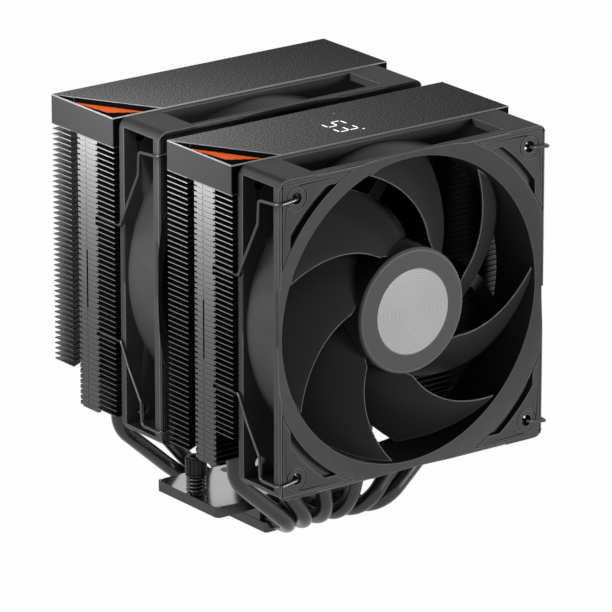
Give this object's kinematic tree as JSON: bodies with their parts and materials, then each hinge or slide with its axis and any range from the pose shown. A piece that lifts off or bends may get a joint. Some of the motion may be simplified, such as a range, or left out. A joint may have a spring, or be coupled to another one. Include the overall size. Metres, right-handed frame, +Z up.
{
  "type": "cpu tower cooler",
  "caption": "Twin-tower processor cooler with fin stacks on bent heat pipes, two clipped fans, a sprung mounting bar and a top display.",
  "frame": {"origin": "centre of the cold plate's underside", "axes": "+Z up from the cold plate, -Y the intake side that the front fan faces, +X to the right seen from the front"},
  "size_m": [0.1254, 0.1394, 0.1578],
  "materials": {
    "plated_copper": "nickel-plated copper, finely milled",
    "dark_aluminium": "black-coated aluminium, satin",
    "bright_plate": "polished plated steel",
    "screw_steel": "dark plated steel",
    "black_pipes": "black-plated copper tube, glossy",
    "black_fins": "black-coated aluminium sheet, semi-gloss",
    "cover_plastic": "fine-grained matte black top, smooth sides",
    "orange_accent": "translucent orange, fine diagonal lines",
    "lit_segments": "white lit segments",
    "board": "circuit board",
    "fan_plastic": "dark grey glass-filled plastic, matte",
    "bearing_brass": "sintered sleeve",
    "motor_steel": "laminated and pressed steel",
    "coil_copper": "enamelled copper winding",
    "wire_steel": "black-coated spring wire",
    "blade_plastic": "satin dark grey plastic",
    "silver_disc": "silver, fine concentric rings",
    "magnet": "bonded ferrite",
    "black_steel": "black-plated steel, knurled",
    "spring_steel": "plated spring wire"
  },
  "bodies": {
    "cooler": {"cold_plate": "plated_copper", "base_block": "dark_aluminium", "mounting_bar": "bright_plate", "bar_screws": "screw_steel", "heat_pipe_1": "black_pipes", "heat_pipe_2": "black_pipes", "heat_pipe_3": "black_pipes", "heat_pipe_4": "black_pipes", "heat_pipe_5": "black_pipes", "heat_pipe_6": "black_pipes", "front_fin_stack": "black_fins", "rear_fin_stack": "black_fins", "front_cover": "cover_plastic", "rear_cover": "cover_plastic", "front_accent_strip": "orange_accent", "rear_accent_strip": "orange_accent", "display_segments": "lit_segments", "display_board": "board", "front_fan_frame": "fan_plastic", "front_motor_bearing": "bearing_brass", "front_stator_core": "motor_steel", "front_stator_coils": "coil_copper", "front_circuit_board": "board", "front_left_wire_clip": "wire_steel", "front_right_wire_clip": "wire_steel", "middle_fan_frame": "fan_plastic", "middle_motor_bearing": "bearing_brass", "middle_stator_core": "motor_steel", "middle_stator_coils": "coil_copper", "middle_circuit_board": "board", "middle_left_wire_clip": "wire_steel", "middle_right_wire_clip": "wire_steel", "left_screw_spring": "spring_steel", "right_screw_spring": "spring_steel"},
    "front_rotor": {"front_impeller": "blade_plastic", "front_hub_disc": "silver_disc", "front_motor_shaft": "screw_steel", "front_motor_yoke": "motor_steel", "front_magnet_ring": "magnet"},
    "middle_rotor": {"middle_impeller": "blade_plastic", "middle_hub_disc": "silver_disc", "middle_motor_shaft": "screw_steel", "middle_motor_yoke": "motor_steel", "middle_magnet_ring": "magnet"},
    "left_plunger": {"left_clip_ring": "screw_steel", "left_screw_washer": "black_steel"},
    "left_screw": {"left_screw_sleeve": "black_steel"},
    "right_plunger": {"right_clip_ring": "screw_steel", "right_screw_washer": "black_steel"},
    "right_screw": {"right_screw_sleeve": "black_steel"}
  },
  "joints": [
    {"name": "front_fan_spin", "type": "hinge", "parent": "cooler", "child": "front_rotor", "pos_m": [0, -0.0689, 0.0975], "axis": [0, -1, 0], "continuous": true},
    {"name": "middle_fan_spin", "type": "hinge", "parent": "cooler", "child": "middle_rotor", "pos_m": [0, 0.0043, 0.0975], "axis": [0, -1, 0], "continuous": true},
    {"name": "left_screw_press", "type": "slide", "parent": "cooler", "child": "left_plunger", "axis": [0, 0, -1], "range_m": [0, 0.002], "stiffness_N_per_m": 6000, "springref_m": -0.0006, "deforming": ["left_screw_spring"]},
    {"name": "left_screw_turn", "type": "hinge", "parent": "left_plunger", "child": "left_screw", "pos_m": [-0.0385, 0, 0.0205], "axis": [0, 0, 1], "continuous": true},
    {"name": "right_screw_press", "type": "slide", "parent": "cooler", "child": "right_plunger", "axis": [0, 0, -1], "range_m": [0, 0.002], "stiffness_N_per_m": 6000, "springref_m": -0.0006, "deforming": ["right_screw_spring"]},
    {"name": "right_screw_turn", "type": "hinge", "parent": "right_plunger", "child": "right_screw", "pos_m": [0.0385, 0, 0.0205], "axis": [0, 0, 1], "continuous": true}
  ]
}
